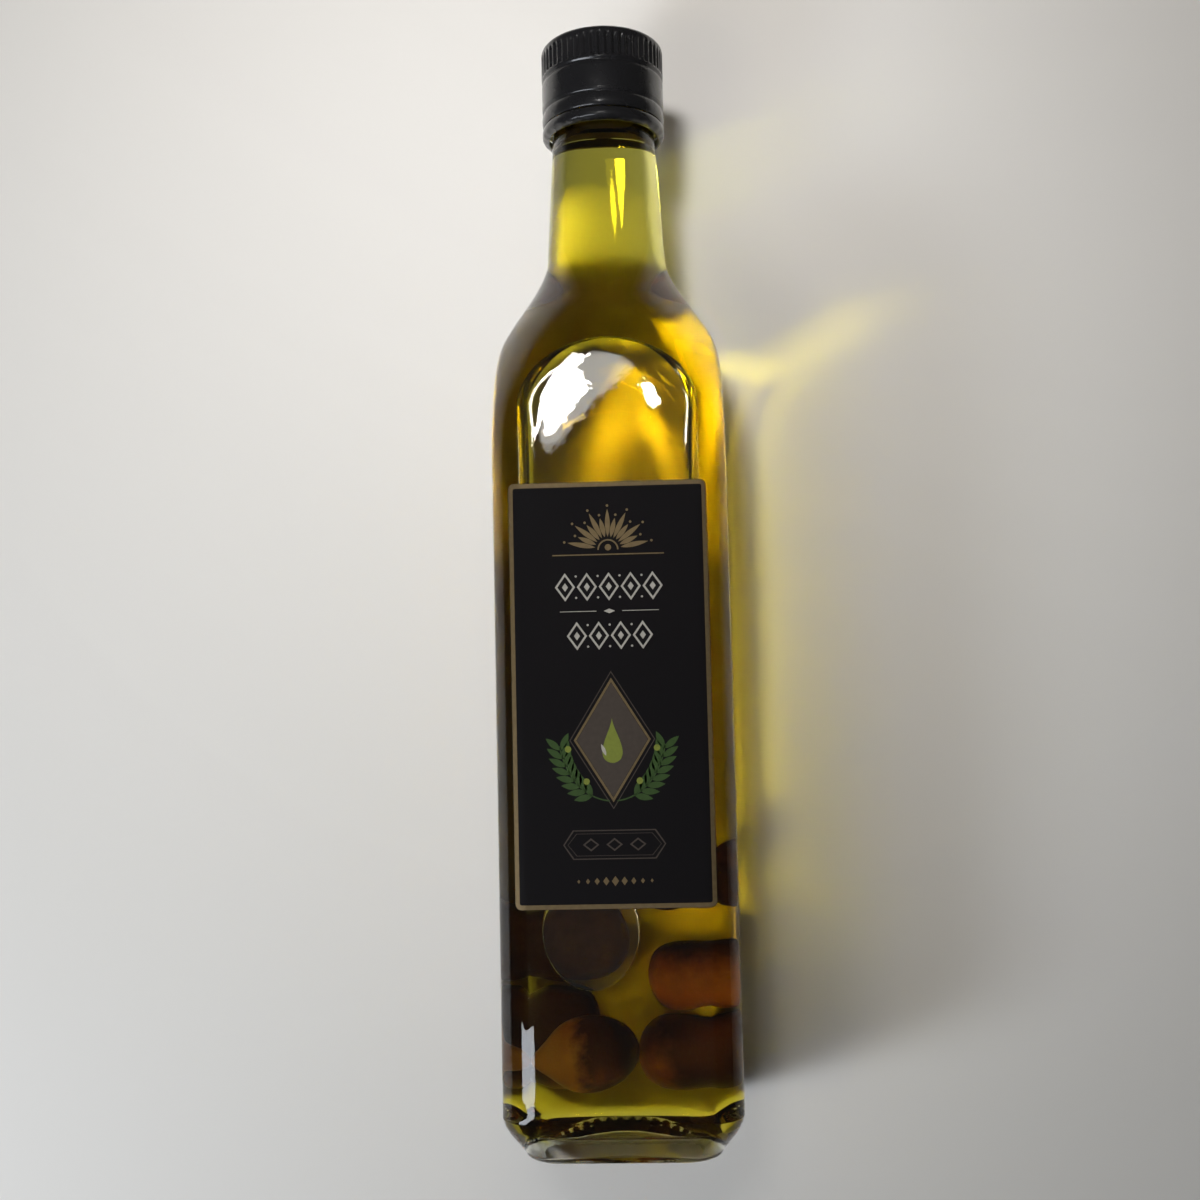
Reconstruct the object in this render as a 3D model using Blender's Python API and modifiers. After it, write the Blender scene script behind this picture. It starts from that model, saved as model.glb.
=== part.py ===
"""Square glass bottle of olive oil with a knurled screw cap, lying on its back.

Every piece is drawn standing, with the bottle's axis up Z, its base at height 0 and its
front facing -Y. One parent empty then lays the bottle down: cap towards +Y, front up.
Lengths are in metres.
"""

import math

import bmesh
import bpy

# Driving dimensions
BOTTLE_LENGTH = 0.2750  # base to top of cap
BODY_WIDTH = 0.0565  # across the flats
CORNER_RADIUS = 0.0075
CAP_DIAMETER = 0.0315
CAP_HEIGHT = 0.0240
GLASS_WALL = 0.0028
GAP = 0.0003  # between neighbouring pieces

BODY_HALF = BODY_WIDTH / 2

# Heel and base of the glass
HEEL_HEIGHT = 0.0096
HEEL_INSET = 0.0050  # how far the heel draws in on each side
HEEL_CREASE = 0.0007  # half height of the rounding where the heel starts
BASE_EDGE_HEIGHT = 0.0014  # rounded lower edge of the heel
BASE_EDGE_INSET = 0.0008
BASE_CORNER_RADIUS = 0.0085
BEARING_RADIUS = 0.0212  # round rim that the bottle stands on
BEARING_WIDTH = 0.0022
PUNT_DEPTH = 0.0032
PUNT_RINGS = ((0.92, 0.42), (0.45, 0.76))  # shares of its depth and of the rim's radius
FLOOR_THICKNESS = 0.0062  # glass between the bearing rim and the oil
FLOOR_ROUNDING = 0.0090
FLOOR_CROWN = 0.0010  # rise of the floor's middle over the punt

# Shoulder: a round dome that the four flats cut into arches
DOME_RADIUS = 0.0720
DOME_FOOT = 0.1615  # height at which the dome starts
DOME_REACH = 0.0366  # its largest distance from the axis, at the corners
ARCH_SOFTNESS = 0.0020  # rounding where the dome meets a flat
NECK_FOOT_SOFTNESS = 0.0072  # rounding where the neck meets the dome

# Neck and mouth
NECK_FOOT_RADIUS = 0.0150
NECK_FOOT_HEIGHT = 0.2206
NECK_TOP_RADIUS = 0.0132
MOUTH_RADIUS = 0.0146  # glass under the cap
MOUTH_ROUNDING = 0.0010
LOCKING_BEAD_HEIGHT = 0.2562
LOCKING_BEAD_RISE = 0.0014

# Cap, measured down from its top
CAP_WALL = 0.0007
CAP_TOP_THICKNESS = 0.0008
CAP_EDGE_ROUNDING = 0.0013
KNURL_START = 0.0018
KNURL_END = 0.0074
KNURL_COUNT = 54
KNURL_DEPTH = 0.0004
UPPER_GROOVE = 0.0088
LOWER_GROOVE = 0.0168
SPLIT = 0.0206  # line where the cap tears off its tamper band
GROOVE_DEPTH = 0.0004
GROOVE_HALF_WIDTH = 0.0004
BAND_LIP_RADIUS = 0.0140  # lower edge of the tamper band, rolled in under the bead
BAND_ROLL = 0.0010  # height over which it rolls in

# Label
LABEL_WIDTH = 0.0464  # measured along the paper
LABEL_HEIGHT = 0.0986
LABEL_FOOT = 0.0592
LABEL_SHIFT = -0.0004  # a hair left of the middle
LABEL_CORNER = 0.0014
LABEL_THICKNESS = 0.00025

# Flat bubble of air left above the oil while the bottle lies
BUBBLE_FOOT = 0.0430  # heights along the bottle where it starts and ends
BUBBLE_TOP = 0.1915
BUBBLE_HALF_WIDTH = 0.0205
BUBBLE_CORNER = 0.0165
BUBBLE_DEPTH = 0.0034
BUBBLE_EDGE = 0.0030  # width over which its rim curves up to the glass

# Fineness
FLAT_STEPS = 6
CORNER_STEPS = 6
DOME_LOW_STEPS = (5, 0.0050)  # number of sections and the distance between them
ARCH_STEPS = (7, 0.0027)
NECK_FOOT_STEPS = (9, 0.0024)
NECK_STEPS = 3
FLOOR_STEPS = 4
BUBBLE_STEPS = (4, 0.0050)
CAP_STEPS = 2 * KNURL_COUNT
CAP_EDGE_STEPS = 3
BAND_STEPS = 60
LABEL_CORNER_STEPS = 3
LABEL_BEND_STEPS = 4
SOFTEST_ANGLE = math.radians(35)
MERGE_DISTANCE = 0.00001


def clear_scene():
    for thing in list(bpy.data.objects):
        bpy.data.objects.remove(thing, do_unlink=True)


def make_material(name, colour, roughness, metallic=0.0, transmission=0.0, ior=1.5):
    material = bpy.data.materials.new(name)
    material.use_nodes = True
    shader = material.node_tree.nodes["Principled BSDF"]
    shader.inputs["Base Color"].default_value = (*colour, 1.0)
    shader.inputs["Roughness"].default_value = roughness
    shader.inputs["Metallic"].default_value = metallic
    shader.inputs["Transmission Weight"].default_value = transmission
    shader.inputs["IOR"].default_value = ior
    return material


def clear_glass():
    return make_material("clear_glass", (0.93, 0.96, 0.92), 0.03, transmission=1.0, ior=1.52)


def golden_oil():
    return make_material("golden_oil", (0.62, 0.47, 0.03), 0.05, transmission=0.9, ior=1.47)


def black_aluminium(name):
    return make_material(name, (0.012, 0.012, 0.013), 0.32, metallic=0.4)


def black_paper():
    return make_material("black_paper", (0.014, 0.014, 0.018), 0.55)


def soft_least(a, b, softness):
    """The smaller of two distances, with their meeting rounded over."""
    overlap = max(softness - abs(a - b), 0.0) / softness
    return min(a, b) - overlap * overlap * softness / 4


def soft_most(a, b, softness):
    """The larger of two distances, with their meeting filled in."""
    return -soft_least(-a, -b, softness)


def square_reach(angle, half, corner):
    """Distance from the axis to the side of a square with rounded corners."""
    quarter = math.pi / 2
    turn = abs((angle + quarter / 2) % quarter - quarter / 2)
    centre = half - corner
    if half * math.tan(turn) <= centre:
        return half / math.cos(turn)
    along = centre * (math.cos(turn) + math.sin(turn))
    across_squared = 2 * centre * centre - along * along
    return along + math.sqrt(max(corner * corner - across_squared, 0.0))


def section_directions():
    """Angles round one section: even steps over each flat, closer ones round each corner."""
    edge = math.atan2(BODY_HALF - CORNER_RADIUS, BODY_HALF)
    flat = [edge * (2 * i / FLAT_STEPS - 1) for i in range(FLAT_STEPS)]
    corner = [edge + (math.pi / 2 - 2 * edge) * i / CORNER_STEPS for i in range(CORNER_STEPS)]
    return [math.pi / 2 * side + angle for side in range(4) for angle in flat + corner]


def neck_top():
    return BOTTLE_LENGTH - CAP_HEIGHT


def lip_height():
    return BOTTLE_LENGTH - CAP_TOP_THICKNESS - GAP


def bore_radius():
    return NECK_TOP_RADIUS - GLASS_WALL


def neck_radius(height):
    """Outer radius of the slightly tapered neck."""
    share = (height - NECK_FOOT_HEIGHT) / (neck_top() - NECK_FOOT_HEIGHT)
    return NECK_FOOT_RADIUS + (NECK_TOP_RADIUS - NECK_FOOT_RADIUS) * share


def dome_radius(height):
    """Outer radius of the shoulder's dome, before the flats cut it."""
    rise = max(height - DOME_FOOT, 0.0)
    return DOME_REACH - DOME_RADIUS + math.sqrt(max(DOME_RADIUS**2 - rise**2, 0.0))


def inner_corner(inset):
    """Corner radius of a square section that lies inset from the glass's outside."""
    return CORNER_RADIUS - inset / 2


def bottle_reach(angle, height, inset):
    """Distance from the axis to the glass, or to a surface a given inset inside it."""
    turned_form = soft_most(neck_radius(height), dome_radius(height), NECK_FOOT_SOFTNESS)
    square = square_reach(angle, BODY_HALF - inset, inner_corner(inset))
    return soft_least(square, turned_form - inset, ARCH_SOFTNESS)


def body_ring(height, inset):
    return height, lambda angle: bottle_reach(angle, height, inset)


def square_ring(height, half, corner):
    return height, lambda angle: square_reach(angle, half, corner)


def round_ring(height, radius):
    return height, lambda angle: radius


def shoulder_heights():
    """Heights from the top of the flats to the neck, closer where the form turns faster."""
    heights = [DOME_FOOT]
    for count, step in (DOME_LOW_STEPS, ARCH_STEPS, NECK_FOOT_STEPS):
        start = heights[-1]
        heights += [start + step * i for i in range(1, count + 1)]
    return heights


def heel_rings():
    """The outside of the base: punt, bearing rim, rounded edge and drawn-in heel."""
    edge_half = BODY_HALF - HEEL_INSET
    slope = HEEL_INSET / (HEEL_HEIGHT - BASE_EDGE_HEIGHT)
    crease_half = BODY_HALF - HEEL_CREASE * slope
    rings = [round_ring(PUNT_DEPTH * up, BEARING_RADIUS * out) for up, out in PUNT_RINGS]
    return rings + [
        round_ring(0.0, BEARING_RADIUS - BEARING_WIDTH),
        round_ring(0.0, BEARING_RADIUS),
        square_ring(BASE_EDGE_HEIGHT / 3, edge_half - BASE_EDGE_INSET, BASE_CORNER_RADIUS),
        square_ring(BASE_EDGE_HEIGHT, edge_half, BASE_CORNER_RADIUS),
        square_ring(HEEL_HEIGHT - HEEL_CREASE, crease_half, CORNER_RADIUS),
        square_ring(HEEL_HEIGHT + HEEL_CREASE, BODY_HALF, CORNER_RADIUS),
    ]


def mouth_rings():
    """The glass under the cap, from the neck up over the lip to the bore."""
    lip = lip_height()
    bead = LOCKING_BEAD_HEIGHT
    return [
        round_ring(bead - LOCKING_BEAD_RISE, neck_radius(bead)),
        round_ring(bead, MOUTH_RADIUS),
        round_ring(lip - MOUTH_ROUNDING, MOUTH_RADIUS),
        round_ring(lip, MOUTH_RADIUS - MOUTH_ROUNDING),
        round_ring(lip, bore_radius() + MOUTH_ROUNDING),
        round_ring(lip - MOUTH_ROUNDING, bore_radius()),
    ]


def cavity_rings(inset, extra_heights=()):
    """The inside of the glass, from the neck down to the rounded floor."""
    neck_length = neck_top() - NECK_FOOT_HEIGHT
    neck = [NECK_FOOT_HEIGHT + neck_length * i / NECK_STEPS for i in range(1, NECK_STEPS + 1)]
    heights = sorted(shoulder_heights() + neck + list(extra_heights), reverse=True)
    return [body_ring(height, inset) for height in heights] + floor_rings(inset)


def floor_rings(inset):
    """The cavity's floor: rounded all round, with its middle a little higher."""
    half = BODY_HALF - inset
    rings = []
    for step in range(FLOOR_STEPS + 1):
        turn = math.pi / 2 * step / FLOOR_STEPS
        drawn_in = FLOOR_ROUNDING * (1 - math.cos(turn))
        height = floor_height(inset) + FLOOR_ROUNDING * (1 - math.sin(turn))
        rings.append(square_ring(height, half - drawn_in, inner_corner(inset) + drawn_in / 2))
    rise, out = PUNT_RINGS[0]
    rings.append(round_ring(floor_height(inset) + FLOOR_CROWN * rise, BEARING_RADIUS * out))
    return rings


def floor_height(inset):
    return FLOOR_THICKNESS + inset - GLASS_WALL


def loft(name, rings, first_centre, last_centre):
    """A closed skin over rings of points, from one centre point to the other."""
    directions = section_directions()
    mesh = bpy.data.meshes.new(name)
    form = bmesh.new()
    first = form.verts.new((0.0, 0.0, first_centre))
    last = form.verts.new((0.0, 0.0, last_centre))
    loops = []
    for height, reach in rings:
        points = [(reach(a) * math.cos(a), reach(a) * math.sin(a), height) for a in directions]
        loops.append([form.verts.new(point) for point in points])
    count = len(directions)
    for j in range(count):
        k = (j + 1) % count
        form.faces.new((first, loops[0][k], loops[0][j]))
        form.faces.new((last, loops[-1][j], loops[-1][k]))
        for lower, upper in zip(loops, loops[1:]):
            form.faces.new((lower[j], lower[k], upper[k], upper[j]))
    bmesh.ops.triangulate(form, faces=form.faces[:], quad_method="SHORT_EDGE")
    form.to_mesh(mesh)
    form.free()
    return mesh


def shade_round(mesh):
    mesh.shade_smooth()
    mesh.set_sharp_from_angle(angle=SOFTEST_ANGLE)


def place(mesh, material, collection, parent):
    thing = bpy.data.objects.new(mesh.name, mesh)
    mesh.materials.append(material)
    collection.objects.link(thing)
    thing.parent = parent
    return thing


def make_bottle(collection, parent):
    """The hollow glass: base, heel, square body, domed shoulder, neck and mouth."""
    heights = shoulder_heights() + [neck_top()]
    outside = heel_rings() + [body_ring(height, 0.0) for height in heights]
    rings = outside + mouth_rings() + cavity_rings(GLASS_WALL)
    mesh = loft("glass_bottle", rings, PUNT_DEPTH, floor_height(GLASS_WALL) + FLOOR_CROWN)
    shade_round(mesh)
    place(mesh, clear_glass(), collection, parent)


def bubble_depth(x, height):
    """Depth of the air under the front: flat, with a rounded rim and rounded corners."""
    middle = (BUBBLE_FOOT + BUBBLE_TOP) / 2
    beyond_x = abs(x) - BUBBLE_HALF_WIDTH + BUBBLE_CORNER
    beyond_y = abs(height - middle) - (BUBBLE_TOP - BUBBLE_FOOT) / 2 + BUBBLE_CORNER
    outside = math.hypot(max(beyond_x, 0.0), max(beyond_y, 0.0)) - BUBBLE_CORNER
    inside = -(outside + min(max(beyond_x, beyond_y), 0.0))
    share = min(max(inside / BUBBLE_EDGE, 0.0), 1.0)
    return BUBBLE_DEPTH * math.sqrt(1 - (1 - share) ** 2)


def make_oil(collection, parent):
    """The oil fills the glass up to the flat bubble of air under the front."""
    inset = GLASS_WALL + GAP
    count, step = BUBBLE_STEPS
    bubble_heights = [BUBBLE_FOOT + step * i for i in range(count)]
    rings = cavity_rings(inset, bubble_heights)[::-1]
    rings.append(round_ring(lip_height(), bore_radius() - GAP))
    mesh = loft("olive_oil", rings, floor_height(inset) + FLOOR_CROWN, lip_height())
    for vertex in mesh.vertices:
        if vertex.co.y < 0:
            vertex.co.y += bubble_depth(vertex.co.x, vertex.co.z)
    shade_round(mesh)
    place(mesh, golden_oil(), collection, parent)


def turned(name, profile, steps, closed):
    """A profile of (radius, height) points swept round the axis by a Screw modifier."""
    outline = bpy.data.meshes.new(name)
    points = [(radius, 0.0, height) for radius, height in profile]
    edges = [(i, i + 1) for i in range(len(points) - 1)]
    if closed:
        edges.append((len(points) - 1, 0))
    outline.from_pydata(points, edges, [])
    holder = bpy.data.objects.new(name, outline)
    bpy.context.scene.collection.objects.link(holder)
    screw = holder.modifiers.new("turn", "SCREW")
    screw.axis = "Z"
    screw.steps = steps
    screw.render_steps = steps
    screw.use_merge_vertices = True
    screw.merge_threshold = MERGE_DISTANCE
    graph = bpy.context.evaluated_depsgraph_get()
    mesh = bpy.data.meshes.new_from_object(holder.evaluated_get(graph))
    bpy.data.objects.remove(holder, do_unlink=True)
    bpy.data.meshes.remove(outline)
    mesh.name = name
    return mesh


def groove(radius, height):
    """Three profile points of a small V groove, top to bottom."""
    return [
        (radius, height + GROOVE_HALF_WIDTH),
        (radius - GROOVE_DEPTH, height),
        (radius, height - GROOVE_HALF_WIDTH),
    ]


def cap_profile():
    """Half section of the cap: down the outside, then up the inside."""
    radius = CAP_DIAMETER / 2
    top = BOTTLE_LENGTH
    edge = CAP_EDGE_ROUNDING
    points = [(0.0, top)]
    for step in range(CAP_EDGE_STEPS + 1):
        turn = math.pi / 2 * step / CAP_EDGE_STEPS
        points.append((radius - edge + edge * math.sin(turn), top - edge + edge * math.cos(turn)))
    points += [
        (radius, top - KNURL_START),
        (radius, top - KNURL_END),
        (radius, top - KNURL_END - GROOVE_DEPTH),
    ]
    points += groove(radius, top - UPPER_GROOVE)
    points += groove(radius, top - LOWER_GROOVE)
    points += [
        (radius, top - SPLIT + GROOVE_HALF_WIDTH),
        (radius - GROOVE_DEPTH, top - SPLIT),
        (radius - CAP_WALL, top - SPLIT),
        (radius - CAP_WALL, top - CAP_TOP_THICKNESS),
        (0.0, top - CAP_TOP_THICKNESS),
    ]
    return points


def press_knurls(mesh):
    """Every other column of the grip band is pressed in, which leaves the ribs."""
    top = BOTTLE_LENGTH - KNURL_START + MERGE_DISTANCE
    low = BOTTLE_LENGTH - KNURL_END - MERGE_DISTANCE
    column_width = 2 * math.pi / CAP_STEPS
    outside = (CAP_DIAMETER - CAP_WALL) / 2
    for vertex in mesh.vertices:
        x, y, z = vertex.co
        radius = math.hypot(x, y)
        column = round(math.atan2(y, x) / column_width)
        if low < z < top and radius > outside and column % 2:
            share = (radius - KNURL_DEPTH) / radius
            vertex.co.x = x * share
            vertex.co.y = y * share


def make_cap(collection, parent):
    """The screw cap: rounded top edge, ribbed grip band, plain skirt with rolled grooves."""
    mesh = turned("screw_cap", cap_profile(), CAP_STEPS, closed=False)
    press_knurls(mesh)
    shade_round(mesh)
    place(mesh, black_aluminium("cap_aluminium"), collection, parent)


def make_tamper_band(collection, parent):
    """The band that stays on the neck, rolled in at its lower edge."""
    radius = CAP_DIAMETER / 2
    inner = radius - CAP_WALL
    top = BOTTLE_LENGTH - SPLIT - GAP
    low = BOTTLE_LENGTH - CAP_HEIGHT
    profile = [
        (radius - GROOVE_DEPTH, top),
        (radius, top - GROOVE_HALF_WIDTH),
        (radius, low + BAND_ROLL),
        (radius - BAND_ROLL / 2, low + GAP),
        (BAND_LIP_RADIUS + GAP, low),
        (BAND_LIP_RADIUS, low + BAND_ROLL / 2),
        (inner - GAP, low + BAND_ROLL),
        (inner, low + BAND_ROLL + GROOVE_HALF_WIDTH),
        (inner, top),
    ]
    mesh = turned("tamper_band", profile, BAND_STEPS, closed=True)
    shade_round(mesh)
    place(mesh, black_aluminium("band_aluminium"), collection, parent)


def wrapped_point(along, lift):
    """A point at a distance along the paper from the middle, over the front and its corners."""
    flat = BODY_HALF - CORNER_RADIUS
    bend = CORNER_RADIUS + lift
    turn = max(abs(along) - flat, 0.0) / bend
    x = min(abs(along), flat) + bend * math.sin(turn)
    return math.copysign(x, along), -(flat + bend * math.cos(turn))


def label_rows():
    """Heights and half widths of the label's rows, with its corners rounded."""
    rows = []
    for step in range(LABEL_CORNER_STEPS + 1):
        turn = math.pi / 2 * step / LABEL_CORNER_STEPS
        inset = LABEL_CORNER * (1 - math.sin(turn))
        rows.append((LABEL_CORNER * (1 - math.cos(turn)), LABEL_WIDTH / 2 - inset))
    upper = [(LABEL_HEIGHT - height, half) for height, half in reversed(rows)]
    return [(LABEL_FOOT + height, half) for height, half in rows + upper]


def label_columns():
    """Shares of the half width: close together where the paper bends over a corner."""
    bend = (BODY_HALF - CORNER_RADIUS) / (LABEL_WIDTH / 2)
    steps = range(LABEL_BEND_STEPS + 1)
    side = [bend + (1 - bend) * i / LABEL_BEND_STEPS for i in steps]
    return [-share for share in reversed(side)] + [0.0] + side


def make_label(collection, parent):
    """The front label: thin paper that bends over the body's two front corners."""
    mesh = bpy.data.meshes.new("front_label")
    form = bmesh.new()
    rows = []
    for height, half in label_rows():
        places = [wrapped_point(share * half + LABEL_SHIFT, GAP) for share in label_columns()]
        rows.append([form.verts.new((x, y, height)) for x, y in places])
    for lower, upper in zip(rows, rows[1:]):
        for j in range(len(lower) - 1):
            form.faces.new((lower[j], lower[j + 1], upper[j + 1], upper[j]))
    form.to_mesh(mesh)
    form.free()
    label = place(mesh, black_paper(), collection, parent)
    paper = label.modifiers.new("paper", "SOLIDIFY")
    paper.thickness = LABEL_THICKNESS
    paper.offset = 1.0


def lay_down(collection):
    """The empty that every piece hangs on, which lays the standing bottle on its back."""
    axis = bpy.data.objects.new("bottle_axis", None)
    axis.location = (0.0, -BOTTLE_LENGTH / 2, BODY_HALF)
    axis.rotation_euler = (-math.pi / 2, 0.0, 0.0)
    collection.objects.link(axis)
    return axis


def main():
    clear_scene()
    collection = bpy.data.collections.new("olive_oil_bottle")
    bpy.context.scene.collection.children.link(collection)
    axis = lay_down(collection)
    make_bottle(collection, axis)
    make_oil(collection, axis)
    make_cap(collection, axis)
    make_tamper_band(collection, axis)
    make_label(collection, axis)


main()
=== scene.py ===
# Square bottle of olive oil on its back: fine glass, oil, olives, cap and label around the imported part
import math

import bmesh
import bpy
import numpy as np
from mathutils import Matrix, Vector, noise


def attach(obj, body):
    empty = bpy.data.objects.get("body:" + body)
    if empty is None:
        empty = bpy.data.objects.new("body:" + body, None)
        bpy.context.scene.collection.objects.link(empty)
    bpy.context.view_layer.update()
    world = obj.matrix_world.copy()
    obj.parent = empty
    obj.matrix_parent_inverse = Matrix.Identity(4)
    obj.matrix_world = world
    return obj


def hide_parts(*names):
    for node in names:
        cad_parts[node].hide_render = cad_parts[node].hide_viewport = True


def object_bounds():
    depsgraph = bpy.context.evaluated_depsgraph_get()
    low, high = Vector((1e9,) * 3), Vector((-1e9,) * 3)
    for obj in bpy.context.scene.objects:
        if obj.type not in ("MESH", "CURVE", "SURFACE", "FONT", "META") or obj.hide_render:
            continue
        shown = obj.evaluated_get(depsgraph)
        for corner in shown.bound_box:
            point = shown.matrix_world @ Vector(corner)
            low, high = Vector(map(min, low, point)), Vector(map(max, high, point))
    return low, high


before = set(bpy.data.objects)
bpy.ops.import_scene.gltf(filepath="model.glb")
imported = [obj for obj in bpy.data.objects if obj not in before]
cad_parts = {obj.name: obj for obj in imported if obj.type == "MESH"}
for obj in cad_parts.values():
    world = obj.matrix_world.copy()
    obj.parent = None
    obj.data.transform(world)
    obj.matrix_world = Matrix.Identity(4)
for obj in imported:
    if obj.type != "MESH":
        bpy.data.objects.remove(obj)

cadLow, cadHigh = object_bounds()
mm = 0.001

bottleLength = cadHigh.y - cadLow.y
bodyWidth = cadHigh.x - cadLow.x
bodyHalf = bodyWidth / 2
body = "root"


# camera
cameraView = {
    "place": (0.00931, -0.03046, 0.37338),
    "lens": 41.02,
    "tilt": math.radians(4.157),
    "pan": math.radians(2.138),
    "roll": math.radians(-1.275),
}


def makeCamera():
    data = bpy.data.cameras.new("camera")
    data.lens = cameraView["lens"]
    data.sensor_width = 36.0
    data.clip_start = 0.01
    camera = bpy.data.objects.new("camera", data)
    camera.location = cameraView["place"]
    camera.rotation_mode = "ZXY"
    camera.rotation_euler = (cameraView["tilt"], cameraView["pan"], cameraView["roll"])
    bpy.context.scene.collection.objects.link(camera)
    bpy.context.scene.camera = camera
    print("camera placed")


# helpers for materials
def newMaterial(name, **values):
    material = bpy.data.materials.new(name)
    material.use_nodes = True
    nodes = material.node_tree.nodes
    shader = nodes["Principled BSDF"]
    for key, value in values.items():
        shader.inputs[key].default_value = value
    return material, nodes, material.node_tree.links, shader


def addNode(nodes, kind, **settings):
    node = nodes.new(kind)
    for key, value in settings.items():
        if key in node.inputs:
            node.inputs[key].default_value = value
        else:
            setattr(node, key, value)
    return node


def addNoise(nodes, links, **settings):
    # noise that stays with the piece
    place = addNode(nodes, "ShaderNodeTexCoord")
    grain = addNode(nodes, "ShaderNodeTexNoise", **settings)
    links.new(place.outputs["Object"], grain.inputs["Vector"])
    return grain


def addRange(nodes, links, source, low, high, target):
    spread = addNode(nodes, "ShaderNodeMapRange", **{"To Min": low, "To Max": high})
    links.new(source, spread.inputs["Value"])
    links.new(spread.outputs["Result"], target)


def addTint(nodes, links, shader, colour, share):
    # the colour darkened by what is linked to the socket that this hands back
    tint = addNode(nodes, "ShaderNodeMixRGB", blend_type="MULTIPLY", Fac=share, Color1=colour)
    links.new(tint.outputs["Color"], shader.inputs["Base Color"])
    return tint.inputs["Color2"]


def addBump(nodes, links, shader, source, strength, height):
    bump = addNode(nodes, "ShaderNodeBump", Strength=strength, Distance=height)
    links.new(source, bump.inputs["Height"])
    links.new(bump.outputs["Normal"], shader.inputs["Normal"])


# form of the bottle, drawn standing on its base with the front facing -Y
bottleForm = {
    "cornerRadius": 7.5 * mm,
    "wall": 2.8 * mm,
    "wallUnevenness": 0.06 * mm,
    "waveSpread": 1.3,  # how often the wall's thickness changes round the bottle
    "waveLength": 35.0 * mm,
    "heelHeight": 9.6 * mm,
    "heelInset": 5.0 * mm,
    "heelSoftness": 1.8 * mm,
    "heelBlend": 1.5 * mm,
    "baseEdge": 1.6 * mm,
    "baseEdgeFoot": 0.5 * mm,
    "baseEdgeDraw": 0.75,  # how far the edge draws in, as a share of its height
    "baseCornerRadius": 8.5 * mm,
    "bearingRadius": 21.2 * mm,
    "bearingWidth": 2.2 * mm,
    "bearingRound": 0.25 * mm,
    "puntDepth": 3.6 * mm,
    "puntFullness": 0.8,
    "puntReach": 0.97,  # of the bearing rim's inside
    "stippleCount": 44,
    "stippleHeight": 0.9 * mm,
    "floorThickness": 7.2 * mm,
    "floorRounding": 5.0 * mm,
    "floorCrown": 1.0 * mm,
    "domeRadius": 72.0 * mm,
    "domeFoot": 161.5 * mm,
    "domeReach": 36.6 * mm,
    "archSoftness": 3.2 * mm,
    "neckFootSoftness": 7.2 * mm,
    "neckFootRadius": 15.0 * mm,
    "neckFoot": 220.6 * mm,
    "neckTopRadius": 13.2 * mm,
    "mouthRadius": 14.6 * mm,
    "mouthRounding": 1.0 * mm,
    "beadHeight": 256.2 * mm,
    "beadRise": 1.4 * mm,
    "neckTop": 24.0 * mm,  # below the cap's top
    "lip": 1.1 * mm,
}
cornerSteps = 18
flatSteps = 30
mergeDistance = 0.000001


def softLeast(a, b, softness):
    overlap = np.maximum(softness - np.abs(a - b), 0.0) / softness
    return np.minimum(a, b) - overlap * overlap * softness / 4


def softMost(a, b, softness):
    return -softLeast(-a, -b, softness)


def squareReach(angles, half, corner):
    # distance from the axis to a square with rounded corners, in every direction
    quarter = math.pi / 2
    turn = np.abs((angles + quarter / 2) % quarter - quarter / 2)
    centre = half - corner
    along = centre * (np.cos(turn) + np.sin(turn))
    root = np.sqrt(np.maximum(corner * corner - (2 * centre * centre - along * along), 0.0))
    return np.where(half * np.tan(turn) <= centre, half / np.cos(turn), along + root)


def sectionAngles():
    # even steps over each flat and closer ones round each corner
    edge = math.atan2(bodyHalf - bottleForm["cornerRadius"], bodyHalf)
    flat = [edge * (2 * i / flatSteps - 1) for i in range(flatSteps)]
    corner = [edge + (math.pi / 2 - 2 * edge) * i / cornerSteps for i in range(cornerSteps)]
    return np.array([math.pi / 2 * side + a for side in range(4) for a in flat + corner])


def neckTop():
    return bottleLength - bottleForm["neckTop"]


def lipHeight():
    return bottleLength - bottleForm["lip"]


def boreRadius():
    return bottleForm["neckTopRadius"] - bottleForm["wall"]


def neckRadius(height):
    foot, top = bottleForm["neckFootRadius"], bottleForm["neckTopRadius"]
    share = (height - bottleForm["neckFoot"]) / (neckTop() - bottleForm["neckFoot"])
    return foot + (top - foot) * share


def domeRadius(height):
    radius = bottleForm["domeRadius"]
    rise = max(height - bottleForm["domeFoot"], 0.0)
    return bottleForm["domeReach"] - radius + math.sqrt(max(radius**2 - rise**2, 0.0))


def bottleReach(angles, height, inset):
    turned = softMost(neckRadius(height), domeRadius(height), bottleForm["neckFootSoftness"])
    square = squareReach(angles, bodyHalf - inset, bottleForm["cornerRadius"] - inset / 2)
    return softLeast(square, turned - inset, bottleForm["archSoftness"])


def bodyHeights(low, high):
    # close rings where the shoulder turns, wide ones up the straight body
    heights = []
    height = low
    while height < high - 0.2 * mm:
        heights.append(height)
        if height < bottleForm["domeFoot"] - 2 * mm:
            height += 6.0 * mm
        elif height < neckTop() - 20 * mm:
            height += 0.8 * mm
        else:
            height += 2.0 * mm
    heights.append(high)
    return heights


def roundRing(angles, radius):
    return np.full(len(angles), radius)


def heelHalf(height):
    # half width of the heel's square section: draws in towards the base, with a rounded start
    top = bottleForm["heelHeight"]
    slope = bottleForm["heelInset"] / (top - bottleForm["baseEdge"])
    lean = bodyHalf - (top - height) * slope
    return float(softLeast(lean, bodyHalf, bottleForm["heelSoftness"] * slope * 2))


def puntRings(angles):
    # the punt under the base, from its middle out
    form = bottleForm
    inner = (form["bearingRadius"] - form["bearingWidth"]) * form["puntReach"]
    rings, steps = [], 12
    for i in range(1, steps + 1):
        share = i / steps
        height = form["puntDepth"] * math.cos(share * math.pi / 2) ** form["puntFullness"]
        rings.append((height, roundRing(angles, inner * share)))
    return rings


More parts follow.
